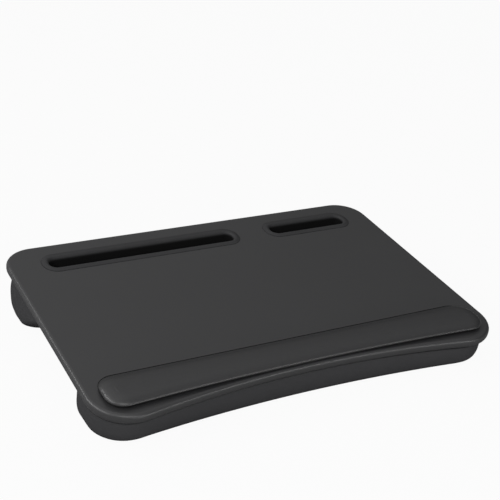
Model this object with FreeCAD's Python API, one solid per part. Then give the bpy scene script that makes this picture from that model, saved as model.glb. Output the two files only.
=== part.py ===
"""Lap tray with a padded wrist rest, two device slots and a two-bolster cushion.

The tray is modelled lying level, with its top face on z = 0, its middle on x = y = 0 and its back
edge towards +y. Every finished piece is then seated: tilted and lifted so that both bolsters stand
on the plane z = 0, with the origin under the middle of the part. All sizes are in millimetres.
"""
import FreeCAD
import Part
import math
import os

Vector = FreeCAD.Vector

# Tray: a moulded shell, open below, with a dip in its front edge for the body
TRAY_WIDTH = 600.0
TRAY_DEPTH = 400.0
TRAY_HEIGHT = 15.5
TOP_SKIN = 2.6
RIM_WALL = 9.0
RIM_TOP_R = 5.0
RIM_BOTTOM_R = 8.0
BACK_CORNER_R = 44.0
FRONT_CORNER_R = 53.0
FRONT_DIP = 22.0

# How the tray stands: its slope towards the user, and the height of the middle of its top face
TILT_DEG = 7.0
CENTRE_HEIGHT = 72.0

# Base panel that closes the shell, and the screws and bosses that hold it
PANEL_THICKNESS = 2.6
PANEL_RECESS = 0.3
PANEL_PLAY = 0.4
SCREW_D = 3.5
SCREW_LENGTH = 9.0
SCREW_HEAD_D = 7.0
SCREW_HEAD_HEIGHT = 1.9
SCREW_PLAY = 0.1
BOSS_D = 9.0
BOSS_MARGIN = 38.0
BOSS_COLUMNS = 4
RIB_WALL = 1.8
RIB_PLAY = 0.6

# Device slots: flanged soft liners pushed into openings along the back of the tray
SLOT_BACK_MARGIN = 37.0
SLOT_LEFT_MARGIN = 57.0
SLOT_RIGHT_MARGIN = 50.0
SLOT_MOUTH = 28.0
SLOT_FLOOR = 16.0
SLOT_END_TAPER = 3.0
SLOT_END_R = 12.0
SLOT_GAP = 66.0
LONG_SLOT_SHARE = 0.6885
LINER_WALL = 1.6
LINER_FLANGE = 9.5
LINER_SEAT = 0.9
LINER_EDGE = 0.5
LINER_LIP = 2.2
LINER_CREST = 4.6
LINER_CREST_R = 4.0
LINER_MOUTH_R = 3.5
LINER_PLAY = 0.3

# Wrist rest: a foam pad in a thin skin, on a board that is taped into a shallow seat
REST_SIDE_LEDGE = 20.0
REST_WIDTH = 63.6
REST_DIP = 9.8
REST_HEIGHT = 12.5
REST_END_R = 24.0
REST_FRONT_LEDGE = 18.4
REST_SEAT = 0.9
REST_PLAY = 0.4
REST_SKIN = 0.9
FOAM_PLAY = 0.2
BOARD_THICKNESS = 2.0
TAPE_THICKNESS = 0.6
TAPE_WIDTH = 18.0
TAPE_GAP = 30.0
TAPE_COUNT = 4

# Cushion: a backing sheet under the panel, and two stuffed bolsters sewn to it.
# The crush is how much of each bolster's crown is pressed flat on the floor.
# The front bolster is trimmed at both ends and sewn on a little to the left.
BACKING_THICKNESS = 1.2
REAR_BOLSTER_INSET = 5.5
FRONT_BOLSTER_INSET = 2.0
FRONT_BOLSTER_TRIM = 2.5
FRONT_BOLSTER_SHIFT = -3.5
COVER_WALL = 1.2
CORE_PLAY = 0.3
BOLSTER_CRUSH = 3.5
REAR_BOLSTER_DEPTH = 160.0
REAR_BOLSTER_CROWN = 55.0
REAR_BOLSTER_R = 26.0
FRONT_BOLSTER_DEPTH = 102.0
FRONT_BOLSTER_R = 22.0

# Sections of the stuffed pieces, from where they are fixed to their crown.
# Wrist rest: share of its height, then the insets of its front and ends and of its back.
REST_SECTIONS = (
    (0.0, 2.0, 0.0),
    (0.34, 0.0, 5.5),
    (0.68, 2.4, 12.5),
    (0.9, 8.5, 20.0),
    (1.0, 16.0, 28.0),
)
# Rear bolster: share of its drop, then the insets of its front, back and ends.
REAR_SECTIONS = (
    (0.0, 0.0, 4.0, 4.0),
    (0.2, 6.0, 0.5, 0.5),
    (0.45, 30.0, 0.0, 0.0),
    (0.7, 58.0, 4.5, 2.5),
    (0.88, 76.0, 13.0, 10.0),
    (1.0, 90.0, 27.0, 26.0),
)
# Front bolster: share of its drop, then the insets of its rear side, its ends and the middle of its front.
FRONT_SECTIONS = (
    (0.0, 3.0, 10.0, 9.0),
    (0.25, 0.5, 1.8, 1.5),
    (0.5, 0.5, 1.5, 0.5),
    (0.75, 3.5, 5.5, 1.0),
    (1.0, 17.0, 18.0, 8.0),
)

# The most of a short side that its two rounded corners may take up
CORNER_FIT = 0.9

# How far a cutting solid runs past the face that it cuts, and how level an edge must be to count as level
OVERCUT = 1.0
LEVEL_TOLERANCE = 1e-4

# Sizes that follow from those above, in the level tray's frame
PANEL_BOTTOM = -TRAY_HEIGHT + PANEL_RECESS
PANEL_TOP = PANEL_BOTTOM + PANEL_THICKNESS
CUSHION_TOP = PANEL_BOTTOM - BACKING_THICKNESS
REST_BASE = -REST_SEAT + TAPE_THICKNESS
REST_LENGTH = TRAY_WIDTH - 2 * REST_SIDE_LEDGE
LINER_BOTTOM = PANEL_TOP + LINER_PLAY
TILT = math.radians(TILT_DEG)


def on_circle(centre, radius, angle_deg, z):
    """The point at an angle on a level circle."""
    angle = math.radians(angle_deg)
    return Vector(centre[0] + radius * math.cos(angle), centre[1] + radius * math.sin(angle), z)


def arc(centre, radius, start_deg, end_deg, z):
    """A level arc from one angle to another."""
    middle = (start_deg + end_deg) / 2
    points = [on_circle(centre, radius, angle, z) for angle in (start_deg, middle, end_deg)]
    return Part.Arc(*points).toShape()


def outline(half_width, back, back_r, front, front_r, dip, z, x=0.0):
    """A closed plan outline: straight back and sides, rounded corners, a front edge that dips inwards.

    The front corners reach the line y = front, and between them one large arc, tangent to both
    corners, comes back to y = front + dip. With no dip the front is straight.
    """
    reach = half_width - front_r
    turn = 0.0
    if dip > 0:
        dip_r = reach**2 / (2 * dip) - front_r + dip / 2
        turn = math.degrees(math.asin(reach / (dip_r + front_r)))
    right, left = x + half_width, x - half_width
    corners = {
        "back_right": (right - back_r, back - back_r),
        "front_right": (right - front_r, front + front_r),
        "front_left": (left + front_r, front + front_r),
        "back_left": (left + back_r, back - back_r),
    }
    round_corners = [
        arc(corners["back_right"], back_r, 90, 0, z),
        arc(corners["front_right"], front_r, 0, -90 - turn, z),
        arc(corners["front_left"], front_r, -90 + turn, -180, z),
        arc(corners["back_left"], back_r, 180, 90, z),
    ]
    ends = [(e.valueAt(e.FirstParameter), e.valueAt(e.LastParameter)) for e in round_corners]
    if dip > 0:
        front_edge = Part.Arc(ends[1][1], Vector(x, front + dip, z), ends[2][0]).toShape()
    else:
        front_edge = Part.makeLine(ends[1][1], ends[2][0])
    edges = [
        Part.makeLine(ends[3][1], ends[0][0]),
        round_corners[0],
        Part.makeLine(ends[0][1], ends[1][0]),
        round_corners[1],
        front_edge,
        round_corners[2],
        Part.makeLine(ends[2][1], ends[3][0]),
        round_corners[3],
    ]
    return Part.Wire(edges)


def prism(wire, height):
    """An upright solid on a level outline."""
    return Part.Face(wire).extrude(Vector(0, 0, height))


def loft(wires, ruled=False):
    """A closed solid through level outlines of the same make."""
    return Part.makeLoft(wires, True, ruled)


def edges_at(shape, z):
    """The edges of a solid that lie level at a height."""
    boxes = [(edge, edge.BoundBox) for edge in shape.Edges]
    return [edge for edge, box in boxes if max(abs(box.ZMin - z), abs(box.ZMax - z)) < LEVEL_TOLERANCE]


def tray_outline(inset, z):
    """The tray's outline, drawn in by an inset."""
    half_depth = TRAY_DEPTH / 2 - inset
    return outline(
        TRAY_WIDTH / 2 - inset,
        half_depth,
        BACK_CORNER_R - inset,
        -half_depth,
        FRONT_CORNER_R - inset,
        FRONT_DIP,
        z,
    )


# Device slots
def slot_centres():
    """Each slot's middle and half length along x, by name."""
    left = -TRAY_WIDTH / 2 + SLOT_LEFT_MARGIN
    right = TRAY_WIDTH / 2 - SLOT_RIGHT_MARGIN
    both = right - left - SLOT_GAP
    long_half = LONG_SLOT_SHARE * both / 2
    short_half = both / 2 - long_half
    return {"long": (left + long_half, long_half), "short": (right - short_half, short_half)}


def slot_outline(name, grow, z, width=SLOT_MOUTH, ends_in=0.0):
    """A slot's outline, grown all round. Its front wall is upright: a narrower one ends short of the back."""
    x, half = slot_centres()[name]
    front = TRAY_DEPTH / 2 - SLOT_BACK_MARGIN - SLOT_MOUTH
    end_r = min(SLOT_END_R, CORNER_FIT * width / 2) + grow
    return outline(half + grow - ends_in, front + width + grow, end_r, front - grow, end_r, 0.0, z, x)


def slot_form(name, grow, bottom):
    """The space of a slot from a height up to the lip: its back and ends lean outwards to the mouth."""
    floor = slot_outline(name, grow, bottom, SLOT_FLOOR, SLOT_END_TAPER)
    mouth = slot_outline(name, grow, LINER_LIP)
    return loft([floor, mouth], ruled=True)


def slot_opening(name):
    """What the tray loses for a liner: the seat of its flange and the way through for its cup."""
    seat = prism(slot_outline(name, LINER_FLANGE + LINER_PLAY, -LINER_SEAT), LINER_SEAT + OVERCUT)
    way = prism(slot_outline(name, LINER_WALL + LINER_PLAY, -TRAY_HEIGHT), TRAY_HEIGHT + OVERCUT)
    return seat.fuse(way)


def slot_liner(name):
    """A cup with a flange that rises from a thin edge to a rounded lip."""
    foot = prism(slot_outline(name, LINER_FLANGE, -LINER_SEAT), LINER_SEAT + LINER_EDGE)
    edge = slot_outline(name, LINER_FLANGE, LINER_EDGE)
    crest = slot_outline(name, LINER_CREST, LINER_LIP)
    flange = foot.fuse(loft([edge, crest], ruled=True)).removeSplitter()
    flange = flange.makeFillet(LINER_CREST_R, edges_at(flange, LINER_LIP))
    cup = slot_form(name, LINER_WALL, LINER_BOTTOM)
    hollow = slot_form(name, 0.0, LINER_BOTTOM + LINER_WALL)
    liner = flange.fuse(cup).removeSplitter().cut(hollow)
    mouth = [edge for edge in edges_at(liner, LINER_LIP) if inside_slot(name, edge)]
    return liner.makeFillet(LINER_MOUTH_R, mouth)


def inside_slot(name, edge):
    """Whether an edge is on a slot's mouth, and not on the outside of its crest."""
    mouth = slot_outline(name, LINER_CREST / 2, 0.0).BoundBox
    box = edge.BoundBox
    within_x = mouth.XMin < box.XMin and box.XMax < mouth.XMax
    within_y = mouth.YMin < box.YMin and box.YMax < mouth.YMax
    return within_x and within_y


# Base panel and what holds it
def boss_places():
    """Where the panel is screwed on: rows and columns that keep clear of the slots and of the rim."""
    half_depth = TRAY_DEPTH / 2
    slot_back = half_depth - SLOT_BACK_MARGIN + LINER_WALL
    slot_front = half_depth - SLOT_BACK_MARGIN - SLOT_MOUTH - LINER_WALL
    front_row = -half_depth + FRONT_DIP + RIM_WALL + BOSS_D
    first_row = slot_front - BOSS_MARGIN
    rows = [
        (slot_back + half_depth - RIM_WALL) / 2,
        first_row,
        (first_row + front_row) / 2,
        front_row,
    ]
    span = TRAY_WIDTH - 2 * BOSS_MARGIN
    columns = [-span / 2 + i * span / (BOSS_COLUMNS - 1) for i in range(BOSS_COLUMNS)]
    return rows, columns


def screw_points():
    """Each screw's place on the level panel."""
    rows, columns = boss_places()
    return [(x, y) for y in rows for x in columns]


def screw(x, y, grow=0.0):
    """A countersunk screw, its head flush with the panel's underside, or with grow the hole that it needs."""
    foot = Vector(x, y, PANEL_BOTTOM)
    shank_r = SCREW_D / 2 + grow
    head_r = SCREW_HEAD_D / 2 + grow
    shank = Part.makeCylinder(shank_r, SCREW_LENGTH, foot)
    head = Part.makeCone(head_r, shank_r, SCREW_HEAD_HEIGHT, foot)
    return shank.fuse(head).removeSplitter()


def panel_screws():
    """All the screws, as one piece of separate solids."""
    return Part.makeCompound([screw(x, y) for x, y in screw_points()])


def base_panel():
    """The flat board inside the rim, with countersunk holes."""
    panel = prism(tray_outline(RIM_WALL + PANEL_PLAY, PANEL_BOTTOM), PANEL_THICKNESS)
    return panel.cut([screw(x, y, SCREW_PLAY) for x, y in screw_points()])


def bosses():
    """Round posts under the top skin that the panel bears on."""
    height = -TOP_SKIN - PANEL_TOP
    return [Part.makeCylinder(BOSS_D / 2, height, Vector(x, y, PANEL_TOP)) for x, y in screw_points()]


def ribs():
    """Stiffening walls under the top skin, from post to post."""
    rows, columns = boss_places()
    bottom = PANEL_TOP + RIB_PLAY
    height = -TOP_SKIN - bottom
    half_wall = RIB_WALL / 2
    left, front = columns[0], rows[-1]
    width = columns[-1] - left
    depth = rows[0] - front
    across = [Part.makeBox(width, RIB_WALL, height, Vector(left, y - half_wall, bottom)) for y in rows]
    along = [Part.makeBox(RIB_WALL, depth, height, Vector(x - half_wall, front, bottom)) for x in columns]
    return across[0].fuse(across[1:] + along)


def tray_top():
    """The moulded shell: a rounded block hollowed from below, with posts and ribs inside."""
    block = prism(tray_outline(0.0, -TRAY_HEIGHT), TRAY_HEIGHT)
    block = block.makeFillet(RIM_TOP_R, edges_at(block, 0.0))
    block = block.makeFillet(RIM_BOTTOM_R, edges_at(block, -TRAY_HEIGHT))
    hollow = prism(tray_outline(RIM_WALL, -TRAY_HEIGHT), TRAY_HEIGHT - TOP_SKIN)
    shell = block.cut(hollow).fuse(bosses() + [ribs()]).removeSplitter()
    rest_seat = prism(rest_outline(-REST_PLAY, -REST_PLAY, -REST_SEAT), REST_SEAT + OVERCUT)
    screw_holes = [screw(x, y, SCREW_PLAY) for x, y in screw_points()]
    return shell.cut([slot_opening(name) for name in slot_centres()] + [rest_seat] + screw_holes)


# Wrist rest
def rest_outline(inset, back_inset, z):
    """The wrist rest's outline: along the tray's front, with a shallower dip of its own."""
    front = -TRAY_DEPTH / 2 + REST_FRONT_LEDGE
    end_r = min(REST_END_R, CORNER_FIT * REST_WIDTH / 2) - inset
    half = REST_LENGTH / 2 - inset
    return outline(half, front + REST_WIDTH - back_inset, end_r, front + inset, end_r, REST_DIP, z)


def rest_form(shrink):
    """The pad's form, drawn in by a skin: it bulges in front, is crowned on top and slopes away behind."""
    height = REST_HEIGHT - shrink - REST_BASE
    wires = []
    for share, inset, back_inset in REST_SECTIONS:
        wires.append(rest_outline(inset + shrink, back_inset + shrink, REST_BASE + share * height))
    return loft(wires)


def board_form(play):
    """The stiff board inside the foot of the skin, short of the slope at its back."""
    inset = REST_SECTIONS[0][1] + REST_SKIN + play
    back_inset = REST_SECTIONS[1][2] + REST_SKIN + play
    return prism(rest_outline(inset, back_inset, REST_BASE), BOARD_THICKNESS)


def wrist_rest_cover():
    """The skin: the pad's form without its foam and board."""
    return rest_form(0.0).cut(rest_form(REST_SKIN)).cut(board_form(0.0))


def wrist_rest_foam():
    """The foam core, standing on the board."""
    below = prism(rest_outline(-REST_PLAY, -REST_PLAY, REST_BASE - OVERCUT), BOARD_THICKNESS + OVERCUT)
    return rest_form(REST_SKIN + FOAM_PLAY).cut(below)


def wrist_rest_board():
    """The board, with a little play inside the skin."""
    return board_form(FOAM_PLAY)


def wrist_rest_tapes():
    """Strips of double-sided tape in a row between the board and the floor of its seat."""
    length = (REST_LENGTH - 2 * REST_END_R - (TAPE_COUNT - 1) * TAPE_GAP) / TAPE_COUNT
    front = -TRAY_DEPTH / 2 + REST_FRONT_LEDGE
    y = front + (REST_WIDTH + REST_DIP) / 2 - TAPE_WIDTH / 2
    first = -REST_LENGTH / 2 + REST_END_R
    starts = [first + i * (length + TAPE_GAP) for i in range(TAPE_COUNT)]
    corners = [Vector(x, y, -REST_SEAT) for x in starts]
    return Part.makeCompound([Part.makeBox(length, TAPE_WIDTH, TAPE_THICKNESS, c) for c in corners])


# Cushion
def floor_drop(y):
    """How far below the level tray's top face the floor lies, at a place along its depth."""
    return (CENTRE_HEIGHT + y * math.sin(TILT)) / math.cos(TILT)


def cushion_backing():
    """The cloth sheet bonded under the panel, which shows between the bolsters."""
    return prism(tray_outline(RIM_WALL + PANEL_PLAY, CUSHION_TOP), BACKING_THICKNESS)


def bolster_section(wire, y, drop, share):
    """Puts a bolster's outline at its share of the drop, turned by that share from the slope to level."""
    wire.rotate(Vector(0, y, 0), Vector(1, 0, 0), -share * TILT_DEG)
    wire.translate(Vector(0, 0, CUSHION_TOP - share * drop))
    return wire


def rear_bolster_form(shrink):
    """The deep rear bolster: upright behind, sloping up towards the front."""
    back = TRAY_DEPTH / 2 - REAR_BOLSTER_INSET
    front = back - REAR_BOLSTER_DEPTH
    crown = back - REAR_BOLSTER_CROWN
    drop = floor_drop(crown) + BOLSTER_CRUSH + CUSHION_TOP - shrink
    wires = []
    for share, front_in, back_in, end_in in REAR_SECTIONS:
        y_front, y_back = front + front_in + shrink, back - back_in - shrink
        half = TRAY_WIDTH / 2 - REAR_BOLSTER_INSET - end_in - shrink
        fit = CORNER_FIT * (y_back - y_front) / 2
        back_r = min(BACK_CORNER_R - REAR_BOLSTER_INSET - shrink, fit)
        front_r = min(REAR_BOLSTER_R - shrink, fit)
        wire = outline(half, y_back, back_r, y_front, front_r, 0.0, 0.0)
        wires.append(bolster_section(wire, crown, drop, share))
    return loft(wires)


def front_bolster_form(shrink):
    """The shallow front bolster, which follows the dip of the tray's front edge."""
    front = -TRAY_DEPTH / 2 + FRONT_BOLSTER_INSET
    back = front + FRONT_BOLSTER_DEPTH
    crown = (front + back) / 2
    drop = floor_drop(crown) + BOLSTER_CRUSH + CUSHION_TOP - shrink
    wires = []
    for share, rear_in, end_in, middle_in in FRONT_SECTIONS:
        y_front, y_back = front + end_in + shrink, back - rear_in - shrink
        half = TRAY_WIDTH / 2 - FRONT_BOLSTER_INSET - FRONT_BOLSTER_TRIM - end_in - shrink
        front_r = FRONT_CORNER_R - FRONT_BOLSTER_INSET - end_in - shrink
        back_r = min(FRONT_BOLSTER_R - shrink, CORNER_FIT * (y_back - y_front - front_r))
        dip = FRONT_DIP + middle_in - end_in
        wire = outline(half, y_back, back_r, y_front, front_r, dip, 0.0, FRONT_BOLSTER_SHIFT)
        wires.append(bolster_section(wire, crown, drop, share))
    return loft(wires)


def seat(shape):
    """Tilts and lifts a piece from the level tray's frame to where it stands.

    The tilt carries the foot of the back rim and the head of the front rim outwards, so the tilted tray is
    moved by half of what they gain, which keeps its middle over the origin.
    """
    gain = (TRAY_HEIGHT - RIM_BOTTOM_R + RIM_TOP_R) * math.sin(TILT)
    rounding = (RIM_TOP_R - RIM_BOTTOM_R) * (1 - math.cos(TILT))
    seated = shape.copy()
    seated.rotate(Vector(0, 0, 0), Vector(1, 0, 0), TILT_DEG)
    seated.translate(Vector(0, (rounding - gain) / 2, CENTRE_HEIGHT))
    return seated


def flattened(shape, floor):
    """A seated piece, cut flat where it stands on a level floor."""
    reach = TRAY_WIDTH + TRAY_DEPTH
    below = Part.makeBox(2 * reach, 2 * reach, reach, Vector(-reach, -reach, floor - reach))
    return shape.cut(below)


def bolster(form):
    """A bolster's cover, a tub of cloth open towards the backing, and the core inside it."""
    outside = flattened(seat(form(0.0)), 0.0)
    inside = flattened(seat(form(COVER_WALL)), COVER_WALL)
    core = flattened(seat(form(COVER_WALL + CORE_PLAY)), COVER_WALL + CORE_PLAY)
    return outside.cut(inside), core


def pieces():
    """Every piece of the part where it stands, by name."""
    level = {
        "tray_top": tray_top(),
        "long_slot_liner": slot_liner("long"),
        "short_slot_liner": slot_liner("short"),
        "base_panel": base_panel(),
        "panel_screws": panel_screws(),
        "wrist_rest_cover": wrist_rest_cover(),
        "wrist_rest_foam": wrist_rest_foam(),
        "wrist_rest_board": wrist_rest_board(),
        "wrist_rest_tapes": wrist_rest_tapes(),
        "cushion_backing": cushion_backing(),
    }
    made = {name: seat(shape) for name, shape in level.items()}
    made["rear_bolster_cover"], made["rear_bolster_core"] = bolster(rear_bolster_form)
    made["front_bolster_cover"], made["front_bolster_core"] = bolster(front_bolster_form)
    return made


os.makedirs("parts", exist_ok=True)
for piece_name, piece in pieces().items():
    piece.exportStep(f"parts/{piece_name}.step")
    box = piece.BoundBox
    print(
        f"{piece_name}: {len(piece.Solids)} solids, {piece.Volume / 1000:.1f} cm3, valid {piece.isValid()},"
        f" y {box.YMin:.1f} to {box.YMax:.1f}, z {box.ZMin:.1f} to {box.ZMax:.1f}"
    )
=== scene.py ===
# %% [markdown]
# # A lap tray with a cushion
#
# The real object is a moulded tray that slopes towards its user. A padded wrist rest runs along its front
# edge, two slots with soft lips run along its back, and two stuffed bolsters carry it. The CAD model
# already holds every piece in its place. This lesson keeps the hard pieces as they are and gives each of
# them a finish, and it models the soft pieces again, because cloth over stuffing is never as plain as a
# solid.

import math

import bpy
import numpy as np
from mathutils import Matrix, Vector


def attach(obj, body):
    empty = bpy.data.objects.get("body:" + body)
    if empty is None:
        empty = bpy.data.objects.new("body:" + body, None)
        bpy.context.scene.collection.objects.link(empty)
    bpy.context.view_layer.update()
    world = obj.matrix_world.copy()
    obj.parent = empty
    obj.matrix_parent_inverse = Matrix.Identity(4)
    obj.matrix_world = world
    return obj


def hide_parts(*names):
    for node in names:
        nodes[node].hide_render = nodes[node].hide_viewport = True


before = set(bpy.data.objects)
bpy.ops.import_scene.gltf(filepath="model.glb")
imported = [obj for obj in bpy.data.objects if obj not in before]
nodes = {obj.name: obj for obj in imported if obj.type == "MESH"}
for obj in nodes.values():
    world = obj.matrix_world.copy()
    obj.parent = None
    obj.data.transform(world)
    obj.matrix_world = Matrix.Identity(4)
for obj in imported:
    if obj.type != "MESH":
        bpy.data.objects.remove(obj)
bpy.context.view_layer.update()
print("CAD nodes:", ", ".join(sorted(nodes)))

# %% [markdown]
# ## Working on a level tray
#
# The tray leans towards its user, and leaning things are awkward to measure. So each soft piece is worked
# out in millimetres on a tray that lies level, with its top face at z = 0 and its middle at x = y = 0, as
# a maker would have it on the bench. One function then seats the points: it turns them about X by the
# slope and lifts them.

# %% From the level tray to the frame
MM = 0.001
SLOPE = math.radians(7.0)
MIDDLE_HEIGHT = 72.0
MIDDLE_SHIFT = -0.773


def seated(points):
    """Level points in millimetres to the frame in metres.

    y' = y cos(slope) - z sin(slope) + shift, and z' = y sin(slope) + z cos(slope) + height.
    """
    x, y, z = np.moveaxis(np.asarray(points, float), -1, 0)
    turned_y = y * math.cos(SLOPE) - z * math.sin(SLOPE) + MIDDLE_SHIFT
    turned_z = y * math.sin(SLOPE) + z * math.cos(SLOPE) + MIDDLE_HEIGHT
    return np.stack([x, turned_y, turned_z], axis=-1) * MM


print("the middle of the tray's top lies at", seated((0.0, 0.0, 0.0)).round(4))

# %% [markdown]
# ## Outlines
#
# Tray, wrist rest and bolsters share one kind of outline, seen from above: a straight back, two round back
# corners, two round front corners and a front edge that dips inwards to fit the body. A curve object could
# draw it, but an array of points can be shrunk, shifted and stacked into a skin, so the outline is worked
# out as points at even steps along its length.

# %% A closed outline with a dip
ARC_POINTS = 40
LEAST_DIP = 0.01


def arc(centre, radius, start, end):
    """Points on a circle: centre + radius (cos angle, sin angle), for angles in degrees."""
    angle = np.radians(np.linspace(start, end, ARC_POINTS))
    return np.stack([centre[0] + radius * np.cos(angle), centre[1] + radius * np.sin(angle)], axis=1)


def evenly(line, count):
    """The same line, cut into equal steps of its length."""
    steps = np.hypot(*np.diff(line, axis=0).T)
    length = np.concatenate([[0.0], np.cumsum(steps)])
    at = np.linspace(0.0, length[-1], count + 1)
    return np.stack([np.interp(at, length, line[:, i]) for i in (0, 1)], axis=1)


def half_loop(half, front, corner_r, dip, side_y, count):
    """From the middle of the left side, round the front, to the middle of the right side.

    Two corner arcs come down to y = front. One wide arc touches both and comes back to y = front + dip in
    the middle. Its radius is reach^2 / (2 dip) - corner_r + dip / 2, where reach is half the width without
    a corner.
    """
    dip = max(dip, LEAST_DIP)
    reach = half - corner_r
    dip_r = reach**2 / (2 * dip) - corner_r + dip / 2
    turn = math.degrees(math.asin(reach / (dip_r + corner_r)))
    left = arc((-reach, front + corner_r), corner_r, 180, 270 + turn)
    middle = arc((0.0, front + dip - dip_r), dip_r, 90 + turn, 90 - turn)
    right = arc((reach, front + corner_r), corner_r, 270 - turn, 360)
    return evenly(np.concatenate([[[-half, side_y]], left, middle, right, [[half, side_y]]]), count)


def loop(half, front, front_r, dip, back, back_r, count):
    """A closed outline of 2 count points: the front half, then the back half mirrored from it."""
    side_y = (front + front_r + back - back_r) / 2
    near = half_loop(half, front, front_r, dip, side_y, count)
    far = half_loop(half, -back, back_r, 0.0, -side_y, count) * (1, -1)
    return np.concatenate([near, far[-2:0:-1]])


# %% [markdown]
# ## Skins
#
# A stuffed piece is a closed skin. Here it is a stack of loops from top to bottom, with a wall of quads
# between neighbours, and the first and last loop are closed by rows of quads that run from the front half
# to the back half. Every point has an index in one big array, so whole walls of faces are made at once.
# The same arrays give a UV map in metres, so that a cloth pattern keeps its real size on the skin.

# %% Walls, caps and the mesh they make


def wall_faces(rings, around):
    """Quads between neighbouring loops, turned outwards when the loops go downwards, and their UV steps."""
    ring, step = np.meshgrid(np.arange(rings - 1), np.arange(around), indexing="ij")
    corners = [(ring, step), (ring + 1, step), (ring + 1, step + 1), (ring, step + 1)]
    faces = np.stack([r * around + s % around for r, s in corners], axis=-1).reshape(-1, 4)
    places = np.stack([np.stack([s, r], axis=-1) for r, s in corners], axis=2).reshape(-1, 4, 2)
    return faces, places


def cap(ring, first, start, rows, dome):
    """Closes a loop: straight rows of points from its front half to its back half, raised by a dome.

    A point is front + share (back - front), lifted by dome (1 - (2 share - 1)^2) along z. first is the
    index of the loop's first point and start that of the first new point. Returns the points, quads and
    triangles.
    """
    count = len(ring) // 2
    near = ring[: count + 1]
    far = ring[(2 * count - np.arange(count + 1)) % (2 * count)]
    share = (np.arange(1, rows) / rows)[:, None, None]
    inner = near[None, 1:-1] + share * (far - near)[None, 1:-1]
    inner[..., 2] += dome * (1 - (2 * share[..., 0] - 1) ** 2)
    index = np.empty((rows + 1, count + 1), int)
    index[0] = first + np.arange(count + 1)
    index[rows] = first + (2 * count - np.arange(count + 1)) % (2 * count)
    index[1:rows, 1:count] = start + np.arange((rows - 1) * (count - 1)).reshape(rows - 1, count - 1)
    index[:, 0] = first
    index[:, count] = first + count
    body = index[:, 1:count]
    quads = np.stack([body[:-1, :-1], body[:-1, 1:], body[1:, 1:], body[1:, :-1]], axis=-1).reshape(-1, 4)
    left = np.stack([index[:-1, 0], index[:-1, 1], index[1:, 1]], axis=-1)
    right = np.stack([index[:-1, count - 1], index[:-1, count], index[1:, count - 1]], axis=-1)
    return inner.reshape(-1, 3), quads, np.concatenate([left, right])


def skin(name, rings, rows, dome=0.0):
    """A closed mesh in the frame from a stack of level loops, first loop on top, with UVs in metres.

    rings has the shape (loops, points, 3). Each cap has the given rows of quads. dome lifts the upper one.
    """
    count, around = rings.shape[:2]
    walls, places = wall_faces(count, around)
    top, top_quads, top_ends = cap(rings[0], 0, count * around, rows, dome)
    last = (count - 1) * around
    base, base_quads, base_ends = cap(rings[-1], last, count * around + len(top), rows, 0.0)
    points = np.concatenate([rings.reshape(-1, 3), top, base])
    quads = np.concatenate([walls, top_quads, base_quads[:, ::-1]])
    ends = np.concatenate([top_ends, base_ends[:, ::-1]])
    mesh = bpy.data.meshes.new(name)
    mesh.from_pydata(points.tolist(), [], quads.tolist() + ends.tolist())
    mesh.polygons.foreach_set("use_smooth", np.ones(len(mesh.polygons), bool))
    widest = np.linalg.norm(np.roll(rings, -1, axis=1) - rings, axis=2).sum(axis=1).max()
    drops = np.linalg.norm(np.diff(rings, axis=0), axis=2).mean(axis=1)
    depth = np.concatenate([[0.0], np.cumsum(drops)])
    on_wall = np.stack([places[..., 0] * widest / around, depth[places[..., 1]]], axis=-1)
    flat = points[:, :2]
    uv = np.concatenate([
        on_wall.reshape(-1, 2),
        flat[quads[len(walls):]].reshape(-1, 2),
        flat[ends].reshape(-1, 2),
    ])
    mesh.uv_layers.new(name="cloth").data.foreach_set("uv", uv.astype(np.float32).ravel())
    piece = bpy.data.objects.new(name, mesh)
    bpy.context.scene.collection.objects.link(piece)
    mesh["cap_points"] = len(top) + len(base)
    print(name, "has", len(points), "points and", len(mesh.polygons), "faces")
    return piece


# %% [markdown]
# ## Profiles from a short table
#
# A soft edge has no single radius. It is easier to state how far the skin stands in at a few heights and
# to let a smooth curve run through those values. A cubic Hermite curve does that with slopes taken from
# the neighbours, which is what Blender's own curves do between their handles.

# %% A smooth curve through a table


def through(table, at):
    """Cubic Hermite curve through the rows of a table, whose first column is the place along it."""
    table = np.asarray(table, float)
    knots, values = table[:, 0], table[:, 1:]
    slopes = np.gradient(values, knots, axis=0)
    i = np.clip(np.searchsorted(knots, at, side="right") - 1, 0, len(knots) - 2)
    width = (knots[i + 1] - knots[i])[:, None]
    t = (at - knots[i])[:, None] / width
    start = (1 + 2 * t) * (1 - t) ** 2 * values[i] + t * (1 - t) ** 2 * width * slopes[i]
    end = t**2 * (3 - 2 * t) * values[i + 1] + t**2 * (t - 1) * width * slopes[i + 1]
    return start + end


# %% [markdown]
# ## The wrist rest
#
# The rest is a strip of foam in a thin grained skin. In front it bulges over its foot, so that a dark line
# shows where it meets the tray, partly real shade under the bulge and partly shade painted on the skin.
# It is crowned on top and slopes gently down to a seam at its back. Cloth simulation would suit a loose
# cover, but this skin is formed tight on its foam and shows no fold, so its loops are stacked by formula.

# %% Wrist rest: loops from the crown down to the foot
TRAY_WIDTH = 600.0
TRAY_DEPTH = 400.0
REST_LENGTH = 562.0
REST_SHIFT = -1.2
REST_WIDTH = 66.6
REST_DIP = 8.5
REST_END_R = 24.0
REST_FRONT = -185.4
REST_TOP = 12.5
REST_FOOT = -0.3
REST_STEPS = 200
REST_LOOPS = 22
REST_DOME = 0.25
REST_ROWS = 8
# Place along the profile from the crown, share of the height, then the insets of front and ends and of
# the back
REST_PROFILE = (
    (0.0, 0.985, 16.0, 31.0),
    (0.2, 0.93, 10.0, 23.0),
    (0.38, 0.82, 5.2, 17.0),
    (0.55, 0.63, 1.5, 11.5),
    (0.7, 0.41, 0.0, 7.0),
    (0.85, 0.17, 1.8, 2.9),
    (1.0, 0.0, 6.0, 0.0),
)


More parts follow.
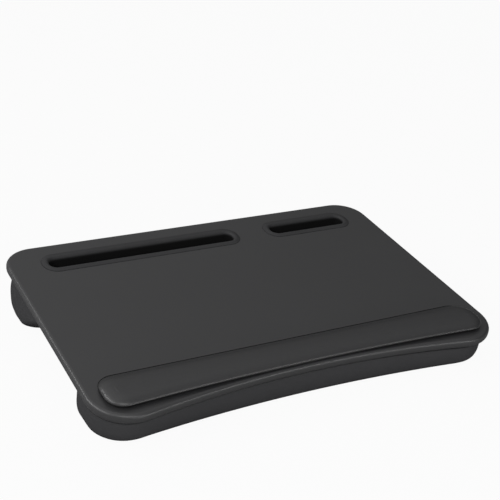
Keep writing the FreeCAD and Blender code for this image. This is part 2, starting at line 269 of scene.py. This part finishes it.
def rest_loops():
    """Loops at the profile's insets and heights, all on the rest's outline."""
    loops = []
    for share, inset, back_in in through(REST_PROFILE, np.linspace(0.0, 1.0, REST_LOOPS)):
        half = REST_LENGTH / 2 - inset
        corner = REST_END_R - inset
        back = REST_FRONT + REST_WIDTH - back_in
        plan = loop(half, REST_FRONT + inset, corner, REST_DIP, back, corner, REST_STEPS)
        height = np.full((len(plan), 1), REST_FOOT + share * (REST_TOP - REST_FOOT))
        loops.append(np.hstack([plan + (REST_SHIFT, 0.0), height]))
    return seated(loops)


wrist_rest = skin("wrist_rest", rest_loops(), REST_ROWS, dome=REST_DOME * MM)

# %% [markdown]
# ## The two bolsters
#
# Each bolster is a cloth cover, stuffed full, sewn to the cloth under the tray. Its loops start in the
# tray's own slope at the seam and turn level by the time they reach the floor, where the cover is pressed
# flat. The rear bolster is deep and falls away towards the front; the front one is shallow, follows the
# dip of the tray and is sewn on a little to the left. Its cover is tucked up against the rim, but not
# where the backing sheet is in the way.

# %% Bolsters: loops from the seam down to the floor
SEAM_HEIGHT = -16.4
CRUSH = 3.5
FLOOR_SOFTNESS = 1.2
CORNER_FIT = 0.9
BACK_CORNER_R = 44.0
FRONT_CORNER_R = 53.0
FRONT_DIP = 22.0
BACKING_INSET = 9.4
BACKING_STEPS = 120
SHEET_CLEARANCE = 2.0
REAR_INSET = 5.5
REAR_DEPTH = 160.0
REAR_CROWN = 55.0
REAR_FRONT_R = 26.0
REAR_STEPS = 150
REAR_LOOPS = 30
REAR_ROWS = 26
# Share of the drop, then the insets of the front, the back and the ends
REAR_PROFILE = (
    (0.0, 0.0, 4.0, 4.0),
    (0.2, 6.0, 0.5, 0.5),
    (0.45, 30.0, 0.0, 0.0),
    (0.7, 58.0, 4.5, 2.5),
    (0.88, 76.0, 13.0, 10.0),
    (1.0, 90.0, 27.0, 26.0),
)
FRONT_INSET = 2.0
FRONT_TRIM = 2.5
FRONT_SHIFT = -3.5
FRONT_DEPTH = 102.0
FRONT_BACK_R = 22.0
FRONT_STEPS = 140
FRONT_LOOPS = 26
FRONT_ROWS = 18
TUCKED_LOOPS = 7
# Place along the profile from the seam, share of the drop, then the insets of the rear side, the ends and
# the middle of the front. Outside the backing sheet the cover first rises a little, up against the rounded
# foot of the rim.
FRONT_PROFILE = (
    (0.0, 0.0, 3.0, 10.0, 9.0),
    (0.08, -0.014, 2.2, 6.5, 6.0),
    (0.16, -0.02, 1.5, 3.5, 3.5),
    (0.24, 0.0, 1.0, 1.9, 2.0),
    (0.34, 0.07, 0.6, 1.1, 1.2),
    (0.48, 0.22, 0.5, 1.0, 0.8),
    (0.64, 0.5, 0.5, 1.5, 0.5),
    (0.82, 0.77, 3.5, 5.5, 1.0),
    (1.0, 1.0, 17.0, 18.0, 8.0),
)


def floor_drop(y):
    """How far the floor lies below the level tray's top face: (height + y sin slope) / cos slope."""
    return (MIDDLE_HEIGHT + y * math.sin(SLOPE)) / math.cos(SLOPE)


def hung(plan, crown, drop, share):
    """A loop at its share of the drop, turned about the crown by that share of the slope."""
    turn = share * SLOPE
    out = plan[:, 1] - crown
    height = SEAM_HEIGHT - share * drop - out * np.sin(turn)
    return np.stack([plan[:, 0], crown + out * np.cos(turn), height], axis=1)


def sheet_plan(inset):
    """Outline of the backing sheet: the tray's outline, drawn in by an inset."""
    half = TRAY_WIDTH / 2 - inset
    edge = TRAY_DEPTH / 2 - inset
    return loop(half, -edge, FRONT_CORNER_R - inset, FRONT_DIP, edge, BACK_CORNER_R - inset, BACKING_STEPS)


def beyond_sheet(plan):
    """Which points lie well outside the backing sheet: their polar radius is beyond that of its outline."""
    edge = sheet_plan(BACKING_INSET - SHEET_CLEARANCE)
    edge_angle = np.arctan2(edge[:, 1], edge[:, 0])
    reach = np.interp(np.arctan2(plan[:, 1], plan[:, 0]), edge_angle, np.hypot(*edge.T), period=2 * math.pi)
    return np.hypot(*plan.T) > reach


def pressed(points):
    """Presses seated points on the floor: z becomes (z + sqrt(z^2 + w^2)) / 2, less its least value."""
    width = FLOOR_SOFTNESS * MM
    points[..., 2] = (points[..., 2] + np.sqrt(points[..., 2] ** 2 + width**2)) / 2
    points[..., 2] -= points[..., 2].min()
    return points


def rear_loops():
    """Loops of the rear bolster, close together where it turns under."""
    back = TRAY_DEPTH / 2 - REAR_INSET
    front = back - REAR_DEPTH
    crown = back - REAR_CROWN
    drop = floor_drop(crown) + CRUSH + SEAM_HEIGHT
    shares = np.sin(np.linspace(0.0, math.pi / 2, REAR_LOOPS))
    loops = []
    for share, (front_in, back_in, end_in) in zip(shares, through(REAR_PROFILE, shares)):
        low, high = front + front_in, back - back_in
        fit = CORNER_FIT * (high - low) / 2
        back_r = min(BACK_CORNER_R - REAR_INSET, fit)
        half = TRAY_WIDTH / 2 - REAR_INSET - end_in
        plan = loop(half, low, min(REAR_FRONT_R, fit), 0.0, high, back_r, REAR_STEPS)
        loops.append(hung(plan, crown, drop, share))
    return pressed(seated(loops))


def front_loops():
    """Loops of the front bolster, whose dip grows shallower towards the floor."""
    front = -TRAY_DEPTH / 2 + FRONT_INSET
    back = front + FRONT_DEPTH
    crown = (front + back) / 2
    drop = floor_drop(crown) + CRUSH + SEAM_HEIGHT
    loops = []
    for share, rear_in, end_in, middle_in in through(FRONT_PROFILE, np.linspace(0.0, 1.0, FRONT_LOOPS)):
        low, high = front + end_in, back - rear_in
        front_r = FRONT_CORNER_R - FRONT_INSET - end_in
        back_r = min(FRONT_BACK_R, CORNER_FIT * (high - low - front_r))
        half = TRAY_WIDTH / 2 - FRONT_INSET - FRONT_TRIM - end_in
        plan = loop(half, low, front_r, FRONT_DIP + middle_in - end_in, high, back_r, FRONT_STEPS)
        plan = plan + (FRONT_SHIFT, 0.0)
        hang = np.where(beyond_sheet(plan), share, max(share, 0.0))
        loops.append(hung(plan, crown, drop, hang))
    return pressed(seated(loops))


rear_bolster = skin("rear_bolster", rear_loops(), REAR_ROWS)
front_bolster = skin("front_bolster", front_loops(), FRONT_ROWS)

# %% [markdown]
# ## Stuffing the bolsters
#
# A stitched cover is cut a little small, and the stuffing stretches it until the cloth stands in even
# curves. The cloth simulation does the same: each skin is drawn in along its normals, pressure pushes it
# out again, and the seam under the tray and the sole on the floor stay pinned. How far a point may move is
# capped, so the cover keeps the form that it was cut to. Only the result stays on the mesh.

# %% Cloth simulation
DRAWN_IN = 1.0
PUFF_CAP = 4.0
PRESSURE = 4.0
PUFF_FRAMES = 20
SOLE_BAND = 1.5
CLOTH_QUALITY = 6
LEAST_WAY = 1e-9


def mesh_points(mesh, what):
    """The coordinates or normals of all vertices as one array."""
    values = np.empty(len(mesh.vertices) * 3, np.float32)
    mesh.vertices.foreach_get(what, values)
    return values.reshape(-1, 3).astype(float)


def set_points(mesh, points):
    """Moves all vertices of a mesh."""
    mesh.vertices.foreach_set("co", points.astype(np.float32).ravel())
    mesh.update()


def stuffed(piece, seam_points):
    """Draws the skin in, then lets cloth pressure fill it.

    A point moves by cap tanh(length / cap) along its way. The first seam_points vertices, those near the
    floor and those of the caps are pinned, and no point sinks below the floor.
    """
    mesh = piece.data
    start = mesh_points(mesh, "co")
    free = start[:, 2] > SOLE_BAND * MM
    free[:seam_points] = False
    free[len(start) - mesh["cap_points"]:] = False
    start[free] -= mesh_points(mesh, "normal")[free] * DRAWN_IN * MM
    set_points(mesh, start)
    pins = piece.vertex_groups.new(name="pinned")
    pins.add(np.flatnonzero(~free).tolist(), 1.0, "REPLACE")
    cloth = piece.modifiers.new("cloth", "CLOTH")
    cloth.settings.vertex_group_mass = "pinned"
    cloth.settings.use_pressure = True
    cloth.settings.uniform_pressure_force = PRESSURE
    cloth.settings.effector_weights.gravity = 0.0
    cloth.settings.quality = CLOTH_QUALITY
    cloth.point_cache.frame_end = PUFF_FRAMES
    for step in range(1, PUFF_FRAMES + 1):
        bpy.context.scene.frame_set(step)
    solved = piece.evaluated_get(bpy.context.evaluated_depsgraph_get())
    way = mesh_points(solved.data, "co") - start
    piece.modifiers.remove(cloth)
    piece.vertex_groups.remove(pins)
    bpy.context.scene.frame_set(1)
    length = np.linalg.norm(way, axis=1, keepdims=True)
    cap_length = PUFF_CAP * MM
    capped = way * cap_length * np.tanh(length / cap_length) / np.maximum(length, LEAST_WAY)
    filled = start + capped
    filled[:, 2] = np.maximum(filled[:, 2], 0.0)
    set_points(mesh, filled)
    print(piece.name, "moved by up to", round(float(np.linalg.norm(capped, axis=1).max()) / MM, 2), "mm")


stuffed(rear_bolster, 2 * REAR_STEPS)
stuffed(front_bolster, 2 * FRONT_STEPS * TUCKED_LOOPS)

# %% [markdown]
# ## The backing sheet
#
# A sheet of cloth is glued tight under the tray's base panel, and the bolsters are sewn to it. It lies
# flat, so it needs no simulation: a few loops over its rounded edge make a sheet of its real thickness.

# %% Backing sheet
BACKING_THICKNESS = 1.2
BACKING_ROWS = 40
EDGE_LOOPS = 7


def backing_loops():
    """Loops over the sheet's rounded edge, from its top face to its lower face."""
    loops = []
    for angle in np.linspace(-90.0, 90.0, EDGE_LOOPS):
        out = math.cos(math.radians(angle)) * BACKING_THICKNESS / 2
        plan = sheet_plan(BACKING_INSET + BACKING_THICKNESS / 2 - out)
        middle = SEAM_HEIGHT + BACKING_THICKNESS / 2
        height = middle - math.sin(math.radians(angle)) * BACKING_THICKNESS / 2
        loops.append(np.hstack([plan, np.full((len(plan), 1), height)]))
    return np.array(loops)


sheet_loops = backing_loops()
backing_sheet = skin("backing_sheet", seated(sheet_loops), BACKING_ROWS)

# %% [markdown]
# ## Who stands for whom
#
# Each new piece rides on the part's only body and stands for the CAD solids whose place it takes.

# %% Bind the soft pieces to the frame
REST_FILL = 0.9
BOLSTER_FILL = 0.85


def bind(piece, slot, fill, *replaced):
    """A padded piece on the body, in place of CAD nodes, smoothed once."""
    smooth = piece.modifiers.new("smooth", "SUBSURF")
    smooth.levels = 1
    smooth.render_levels = 1
    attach(piece, "root")
    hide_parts(*replaced)


bind(wrist_rest, "rest_skin", REST_FILL, "wrist_rest_cover", "wrist_rest_foam")
bind(rear_bolster, "cushion_cloth", BOLSTER_FILL, "rear_bolster_cover", "rear_bolster_core")
bind(front_bolster, "cushion_cloth", BOLSTER_FILL, "front_bolster_cover", "front_bolster_core")
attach(backing_sheet, "root")
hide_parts("cushion_backing")

# %% [markdown]
# ## Shader maths as plain sums
#
# A material is a net of nodes, and a net is tedious to write. This small class wraps one socket and takes
# Python's operators, so that a sum of sockets and numbers adds its Math nodes by itself. Any other node
# comes from one method, which sets the node up and then links or fills its sockets, and the nodes that are
# used most have a short method of their own.

# %% A socket that does sums
BLUE_CAST = 1.04


class Tap:
    """One socket of a node tree. An expression of Taps and numbers adds a Math node for each operator."""

    def __init__(self, tree, socket):
        self.tree = tree
        self.socket = socket

    def node(self, kind, settings=None, inputs=None, out=0):
        """Adds any node: first its settings, then values or Taps for its sockets. Returns one output."""
        made = self.tree.nodes.new(kind)
        for name, value in (settings or {}).items():
            setattr(made, name, value)
        for name, value in (inputs or {}).items():
            self.plug(made.inputs[name], value)
        return Tap(self.tree, made.outputs[out])

    def plug(self, socket, value):
        """Links a Tap to a socket, or sets the socket to a plain value."""
        if isinstance(value, Tap):
            self.tree.links.new(value.socket, socket)
        else:
            socket.default_value = value

    def maths(self, operation, first, second=0.0):
        """A Math node on one or two values."""
        return self.node("ShaderNodeMath", {"operation": operation}, {0: first, 1: second})

    def __add__(self, other):
        return self.maths("ADD", self, other)

    def __radd__(self, other):
        return self.maths("ADD", other, self)

    def __sub__(self, other):
        return self.maths("SUBTRACT", self, other)

    def __rsub__(self, other):
        return self.maths("SUBTRACT", other, self)

    def __mul__(self, other):
        return self.maths("MULTIPLY", self, other)

    def __pow__(self, other):
        return self.maths("POWER", self, other)

    def noise(self, scale, detail=2.0, roughness=0.5):
        """Soft clouds on these coordinates, about 0.5 on average."""
        values = {"Vector": self, "Scale": scale, "Detail": detail, "Roughness": roughness}
        return self.node("ShaderNodeTexNoise", {}, values)

    def along(self, direction):
        """How far this vector goes along a direction: their dot product."""
        product = {"operation": "DOT_PRODUCT"}
        return self.node("ShaderNodeVectorMath", product, {0: self, 1: direction}, out="Value")

    def step(self, low, high, top=1.0):
        """A smooth step of this value, from 0 at low to top at high."""
        values = {"Value": self, "From Min": low, "From Max": high, "To Max": top}
        return self.node("ShaderNodeMapRange", {"interpolation_type": "SMOOTHSTEP"}, values)

    def blend(self, first, second):
        """A colour between two others, by this factor."""
        return self.node("ShaderNodeMix", {"data_type": "RGBA"}, {0: self, 6: first, 7: second}, out=2)

    def bump(self, strength, distance):
        """The normal of a surface raised by these heights."""
        return self.node("ShaderNodeBump", {}, {"Strength": strength, "Distance": distance, "Height": self})


def new_finish(name, source="Object"):
    """A material with one Principled shader: returns it, its shader and its coordinates."""
    material = bpy.data.materials.new(name)
    material.use_nodes = True
    tree = material.node_tree
    shader = tree.nodes["Principled BSDF"]
    coordinates = tree.nodes.new("ShaderNodeTexCoord")
    return material, shader, Tap(tree, coordinates.outputs[source])


def grey(value):
    """A neutral colour, a little bluer than grey."""
    return (value, value, value * BLUE_CAST, 1.0)


# %% [markdown]
# ## Moulded tray
#
# The shell is moulded plastic with a soft satin touch. The mould is etched, so the surface carries a very
# fine grain that only shows close up, and hands leave slow, barely visible changes of gloss. Three clouds
# of noise at different scales give grain, speckle and mottle, and a small bump turns the grain into
# relief. The rim's wall is duller than the top, so a helper tells the material how high a point lies over
# the tray's sloping top face.

# %% Finish of the moulded tray
UP = (0.0, -math.sin(SLOPE), math.cos(SLOPE))
RIM_HEIGHT = float(np.dot(seated((0.0, 0.0, 0.0)), UP))
# Heights over the tray's top face between which the rim's wall goes from dull to satin
DULL_WALL = (-7.0, -3.5)


def above_tray(at, low, high):
    """A smooth step from 0 to 1 between two heights, in millimetres, over the tray's sloping top face."""
    return (at.along(UP) - RIM_HEIGHT).step(low * MM, high * MM)


def moulded_tray():
    """Charcoal plastic: fine etched grain, slow mottle in colour and gloss, duller on the rim's wall."""
    material, shader, at = new_finish("moulded_tray")
    grain = at.noise(1500.0, detail=3.0)
    mottle = at.noise(7.0, detail=4.0, roughness=0.6)
    speckle = at.noise(420.0, detail=1.0)
    shade = mottle * 0.7 + speckle * 0.3
    at.plug(shader.inputs["Base Color"], shade.blend(grey(0.022), grey(0.029)))
    satin = above_tray(at, *DULL_WALL)
    at.plug(shader.inputs["Roughness"], 0.68 - satin * 0.35 + mottle * 0.08 + grain * 0.06)
    at.plug(shader.inputs["Normal"], grain.bump(0.12, 0.00012))
    return material


nodes["tray_top"].material_slots[0].material = moulded_tray()

# %% [markdown]
# ## Slot liners
#
# The liners are soft rubber, duller than the shell, and down in the slot their colour is painted black as
# shade.
# Rubber picks up dust and wipes to a patchy sheen, so its gloss changes over a few centimetres and its
# grain is coarser than the tray's.

# %% Finish of the slot liners
# Heights over the tray's top face between which a liner goes from painted shade, black, to its own grey
PAINTED_CUP_SHADE = (-3.0, 1.2)


def soft_liner():
    """Dull rubber with a patchy sheen and a soft stipple, painted black as shade down in the cup."""
    material, shader, at = new_finish("soft_liner")
    stipple = at.noise(900.0, detail=2.0)
    patches = at.noise(30.0, detail=3.0)
    lit = above_tray(at, *PAINTED_CUP_SHADE)
    rim = patches.blend(grey(0.027), grey(0.034))
    # painted shade: below the tray's top face the colour goes to black, where the slot lies in shade
    at.plug(shader.inputs["Base Color"], lit.blend(grey(0.001), rim))
    at.plug(shader.inputs["Roughness"], 0.9 - lit * 0.45 + patches * 0.08)
    at.plug(shader.inputs["Normal"], stipple.bump(0.15, 0.00015))
    shader.inputs["Specular IOR Level"].default_value = 0.15
    return material


liner_rubber = soft_liner()
for liner in ("long_slot_liner", "short_slot_liner"):
    nodes[liner].material_slots[0].material = liner_rubber

# %% [markdown]
# ## Grained skin of the wrist rest
#
# The rest wears a leather-like skin. Its grain is a net of tiny cells with creases between them, which
# Voronoi noise gives directly: the distance to the nearest cell edge is high on a pebble and zero in a
# crease. Where the skin is tucked under, its colour is painted dark as shade, and the material knows that
# place by its normal, which points down there.

# %% Finish of the wrist rest
# How far the normal points up where the skin goes from painted shade, dark, to its own grey
PAINTED_UNDERSIDE_SHADE = (-0.6, 0.1)


def grained_skin():
    """Leather-like skin: pebbles of a millimetre, darker creases, gloss on the pebbles."""
    material, shader, at = new_finish("grained_skin")
    warp = at.noise(160.0, detail=2.0)
    cells = {"Vector": at, "Scale": 950.0, "Randomness": 0.9}
    edges = at.node("ShaderNodeTexVoronoi", {"feature": "DISTANCE_TO_EDGE"}, cells)
    pebble = edges.step(0.0, 0.28)
    shade = pebble * 0.55 + warp * 0.45
    top = shade.blend(grey(0.017), grey(0.026))
    # painted shade: where the skin's normal points down, under its bulge and at its foot, its colour is
    # darkened
    lit = at.node("ShaderNodeNewGeometry", out="Normal").along(UP).step(*PAINTED_UNDERSIDE_SHADE)
    at.plug(shader.inputs["Base Color"], lit.blend(grey(0.004), top))
    at.plug(shader.inputs["Roughness"], 0.40 - pebble * 0.10 + warp * 0.06)
    at.plug(shader.inputs["Normal"], (pebble + warp * 0.4).bump(0.14, 0.00016))
    return material


wrist_rest.data.materials.append(grained_skin())

# %% [markdown]
# ## Knitted cloth of the bolsters
#
# The covers are a fine stretch knit. A knit is columns of little V shapes. On the UV map, which is in
# metres, a column is a stripe across u, and within it the yarn climbs away from the middle on both sides.
# The sums below fold each column about its middle, slant the rows by that fold and take a sine of the
# result.

# %% Finish of the bolsters
WALE = 0.0011
COURSE = 0.0009
YARN_SLANT = 0.7
GAP_SHARPNESS = 6.0


def knit_heights(at):
    """Height of the knit: rows of slanted yarn in columns, from 0 in a gap to 1 on a yarn."""
    across = at.node("ShaderNodeSeparateXYZ", {}, {0: at}, out="X") * (1.0 / WALE)
    along = at.node("ShaderNodeSeparateXYZ", {}, {0: at}, out="Y") * (1.0 / COURSE)
    fold = at.maths("ABSOLUTE", at.maths("FRACT", across) - 0.5) * 2.0
    slant = at.maths("FRACT", along + fold * YARN_SLANT)
    yarn = at.maths("SINE", slant * math.pi)
    return yarn * (1.0 - fold**GAP_SHARPNESS)


def knit_cloth(name, dark, light):
    """Charcoal knit: lit yarns, dark gaps and a slow unevenness, almost without gloss."""
    material, shader, at = new_finish(name, "UV")
    yarn = knit_heights(at)
    uneven = at.noise(14.0, detail=4.0, roughness=0.6)
    fibre = at.noise(2600.0, detail=2.0)
    shade = yarn * 0.45 + uneven * 0.35 + fibre * 0.2
    at.plug(shader.inputs["Base Color"], shade.blend(grey(dark), grey(light)))
    at.plug(shader.inputs["Roughness"], 0.78 + fibre * 0.12)
    at.plug(shader.inputs["Normal"], (yarn + fibre * 0.5).bump(0.25, 0.0002))
    shader.inputs["Specular IOR Level"].default_value = 0.04
    return material


bolster_cloth = knit_cloth("bolster_knit", 0.035, 0.051)
for bolster in (rear_bolster, front_bolster, backing_sheet):
    bolster.data.materials.append(bolster_cloth)

# %% [markdown]
# ## Pieces that hardly show
#
# Board, tape and screws are inside, but a later user may take the part to pieces, so they get a finish
# too: a fibrous pressed board, a pale tape with fine ribs and zinc-plated steel with a faint brushed
# streak.

# %% Finishes of board, tape, screws and hidden filling


def pressed_board():
    """Brown board: long fibres over a cloudy ground."""
    material, shader, at = new_finish("pressed_board")
    stretched = at.node("ShaderNodeMapping", {}, {"Vector": at, "Scale": (40.0, 400.0, 400.0)})
    fibres = stretched.noise(1.0, detail=6.0, roughness=0.7)
    clouds = at.noise(12.0, detail=3.0)
    shade = fibres * 0.65 + clouds * 0.35
    at.plug(shader.inputs["Base Color"], shade.blend((0.16, 0.095, 0.05, 1.0), (0.36, 0.25, 0.15, 1.0)))
    at.plug(shader.inputs["Roughness"], 0.6 + fibres * 0.25)
    at.plug(shader.inputs["Normal"], fibres.bump(0.2, 0.0002))
    return material


def ribbed_tape():
    """Pale double-sided tape with fine ribs across it."""
    material, shader, at = new_finish("ribbed_tape")
    waves = {"Vector": at, "Scale": 180.0, "Distortion": 1.5}
    ribs = at.node("ShaderNodeTexWave", {"bands_direction": "X"}, waves)
    haze = at.noise(60.0, detail=3.0)
    shade = ribs * 0.4 + haze * 0.6
    at.plug(shader.inputs["Base Color"], shade.blend((0.62, 0.62, 0.57, 1.0), (0.78, 0.78, 0.74, 1.0)))
    at.plug(shader.inputs["Roughness"], 0.35 + haze * 0.2)
    at.plug(shader.inputs["Normal"], ribs.bump(0.1, 0.0001))
    return material


def zinc_steel():
    """Zinc-plated steel: a pale metal with faint streaks."""
    material, shader, at = new_finish("zinc_steel")
    stretched = at.node("ShaderNodeMapping", {}, {"Vector": at, "Scale": (300.0, 4000.0, 300.0)})
    streaks = stretched.noise(1.0, detail=3.0)
    bloom = at.noise(250.0, detail=2.0)
    at.plug(shader.inputs["Base Color"], bloom.blend((0.50, 0.50, 0.52, 1.0), (0.66, 0.66, 0.66, 1.0)))
    at.plug(shader.inputs["Roughness"], 0.26 + streaks * 0.2)
    at.plug(shader.inputs["Normal"], streaks.bump(0.08, 0.00005))
    shader.inputs["Metallic"].default_value = 1.0
    return material


def open_foam():
    """Pale foam: pores of about a millimetre in a soft ground."""
    material, shader, at = new_finish("open_foam")
    pores = at.node("ShaderNodeTexVoronoi", {"feature": "F1"}, {"Vector": at, "Scale": 900.0})
    clouds = at.noise(18.0, detail=3.0)
    shade = pores * 0.6 + clouds * 0.4
    at.plug(shader.inputs["Base Color"], shade.blend((0.52, 0.5, 0.44, 1.0), (0.72, 0.7, 0.64, 1.0)))
    at.plug(shader.inputs["Roughness"], 0.85 + clouds * 0.1)
    at.plug(shader.inputs["Normal"], pores.bump(0.4, 0.0004))
    return material


board = pressed_board()
foam = open_foam()
hidden_finishes = {
    "base_panel": board,
    "wrist_rest_board": board,
    "wrist_rest_tapes": ribbed_tape(),
    "panel_screws": zinc_steel(),
    "wrist_rest_foam": foam,
    "front_bolster_core": foam,
    "rear_bolster_core": foam,
    "wrist_rest_cover": wrist_rest.data.materials[0],
    "front_bolster_cover": bolster_cloth,
    "rear_bolster_cover": bolster_cloth,
    "cushion_backing": bolster_cloth,
}
for name, material in hidden_finishes.items():
    nodes[name].material_slots[0].material = material
print("nodes inside or replaced that have their finish:", len(hidden_finishes))

# %% [markdown]
# ## Floor
#
# The picture has a plain white ground, but more light would bleach the tray. So the floor and the sky are
# only white to the camera: the Light Path node tells its rays from the rest, and an emission mixed in by
# it adds no light to the scene. What mirrors the ground gets a fainter glow of it. The floor is really a
# middling grey, which takes the shadow, and from below it is clear, so that the cushion's soles can be
# looked at.

# %% Floor
FLOOR_SIZE = 30.0
FLOOR_GAP = 0.0002
FLOOR_GLOW = 0.95
MIRRORED_GLOW = 0.06
WHITE = (1.0, 1.0, 1.0, 1.0)


def background_glow(at, seen):
    """How white the background is: as stated to the camera's rays, and faint to mirrored and bent ones."""
    glow = at.node("ShaderNodeLightPath", out="Is Camera Ray") * seen
    for kind in ("Is Glossy Ray", "Is Transmission Ray"):
        glow = at.maths("MAXIMUM", glow, at.node("ShaderNodeLightPath", out=kind) * MIRRORED_GLOW)
    return glow


def pale_floor():
    """A wide square just under z = 0 with a faint unevenness in its grey."""
    corners = np.array([[-1, -1, 0], [1, -1, 0], [1, 1, 0], [-1, 1, 0]]) * FLOOR_SIZE
    corners[:, 2] = -FLOOR_GAP
    mesh = bpy.data.meshes.new("floor")
    mesh.from_pydata(corners.tolist(), [], [(0, 1, 2, 3)])
    floor = bpy.data.objects.new("floor", mesh)
    bpy.context.scene.collection.objects.link(floor)
    material, shader, at = new_finish("pale_floor")
    colour = at.noise(0.8).blend((0.36, 0.36, 0.36, 1.0), (0.40, 0.40, 0.40, 1.0))
    at.plug(shader.inputs["Base Color"], colour)
    shader.inputs["Roughness"].default_value = 0.9
    white = at.node("ShaderNodeEmission", {}, {"Color": WHITE, "Strength": 1.0})
    glow = background_glow(at, FLOOR_GLOW)
    above = at.node("ShaderNodeMixShader", {}, {0: glow, 1: Tap(at.tree, shader.outputs[0]), 2: white})
    below = at.node("ShaderNodeNewGeometry", out="Backfacing")
    clear = at.node("ShaderNodeBsdfTransparent")
    surface = at.node("ShaderNodeMixShader", {}, {0: below, 1: above, 2: clear})
    at.plug(at.tree.nodes["Material Output"].inputs["Surface"], surface)
    mesh.materials.append(material)


pale_floor()

# %% [markdown]
# ## Light
#
# Most of the light comes from the left and from above. The world gives it softly and fades out to the
# right, so that the tray's right edge stays dark. Four soft boxes add to it: one overhead, a long narrow
# one on the left that draws the bright line along the rim, and two in front for the rim's band and the
# cushion under it.

# %% World and soft boxes
WORLD_STRENGTH = 0.55
LIGHT_SIDE = (-0.5, 0.0, 0.87)
DARK_BELOW = -0.2
FULL_ABOVE = 0.6


def soft_box(name, at, towards, width, height, power):
    """A rectangular area lamp that faces a point. Power is in watts."""
    lamp = bpy.data.lights.new(name, "AREA")
    lamp.shape = "RECTANGLE"
    lamp.size = width
    lamp.size_y = height
    lamp.energy = power
    box = bpy.data.objects.new(name, lamp)
    box.location = at
    box.rotation_euler = (Vector(towards) - Vector(at)).to_track_quat("-Z", "Y").to_euler()
    bpy.context.scene.collection.objects.link(box)


def studio_world():
    """White light from the left and from above, which fades out towards the horizon on the right.

    Its strength is a smooth step of the ray's dot product with the light side. To the camera the sky is
    plain white.
    """
    world = bpy.data.worlds.new("studio")
    world.use_nodes = True
    tree = world.node_tree
    at = Tap(tree, tree.nodes.new("ShaderNodeTexCoord").outputs["Generated"])
    light = at.along(LIGHT_SIDE).step(DARK_BELOW, FULL_ABOVE, WORLD_STRENGTH)
    background = tree.nodes["Background"]
    at.plug(background.inputs["Color"], WHITE)
    at.plug(background.inputs["Strength"], at.maths("MAXIMUM", light, background_glow(at, 1.0)))
    bpy.context.scene.world = world


studio_world()
soft_box("top_box", (-0.5, 0.5, 2.4), (0.0, 0.0, 0.05), 2.2, 2.2, 5.0)
soft_box("left_box", (-1.85, 0.25, 1.25), (-0.2, -0.05, 0.06), 2.8, 0.3, 29.0)
soft_box("front_box", (-0.5, -1.3, 0.8), (0.1, -0.4, 0.0), 0.9, 0.6, 7.0)
soft_box("front_card", (0.7, -2.2, 0.2), (0.0, -0.15, 0.05), 1.6, 0.3, 14.0)

# %% [markdown]
# ## Camera
#
# The camera stands in front of the tray's left corner and looks down on it. Its place, turn and focal
# length were found by matching the tray's outline, and its shift keeps the object where the picture has
# it.

# %% Camera at the photograph's viewing angle
CAMERA_PLACE = (-680.69, -1058.95, 782.16)
CAMERA_AZIMUTH = -0.5329
CAMERA_DROP = 0.5226
CAMERA_ROLL = 0.1284
FOCAL_LENGTH = 75.84
CAMERA_SHIFT = (0.0612, 0.0040)
FAR_CLIP = 100.0


def camera_axes():
    """Right, up and backward of the camera on the level tray, as columns."""
    sin_a, cos_a = math.sin(CAMERA_AZIMUTH), math.cos(CAMERA_AZIMUTH)
    sin_e, cos_e = math.sin(CAMERA_DROP), math.cos(CAMERA_DROP)
    forward = np.array([-sin_a * cos_e, cos_a * cos_e, -sin_e])
    level = np.array([cos_a, sin_a, 0.0])
    up = np.cross(level, forward)
    right = math.cos(CAMERA_ROLL) * level + math.sin(CAMERA_ROLL) * up
    return np.stack([right, np.cross(right, forward), -forward], axis=1)


lens = bpy.data.cameras.new("camera")
lens.lens = FOCAL_LENGTH
lens.shift_x, lens.shift_y = CAMERA_SHIFT
lens.clip_end = FAR_CLIP
camera = bpy.data.objects.new("camera", lens)
turn = Matrix.Rotation(SLOPE, 3, "X") @ Matrix(camera_axes().tolist())
camera.matrix_world = Matrix.LocRotScale(Vector(seated(CAMERA_PLACE)), turn, None)
bpy.context.scene.collection.objects.link(camera)
bpy.context.scene.camera = camera
bpy.context.scene.view_settings.view_transform = "Standard"
print("camera at", [round(c, 3) for c in camera.location])
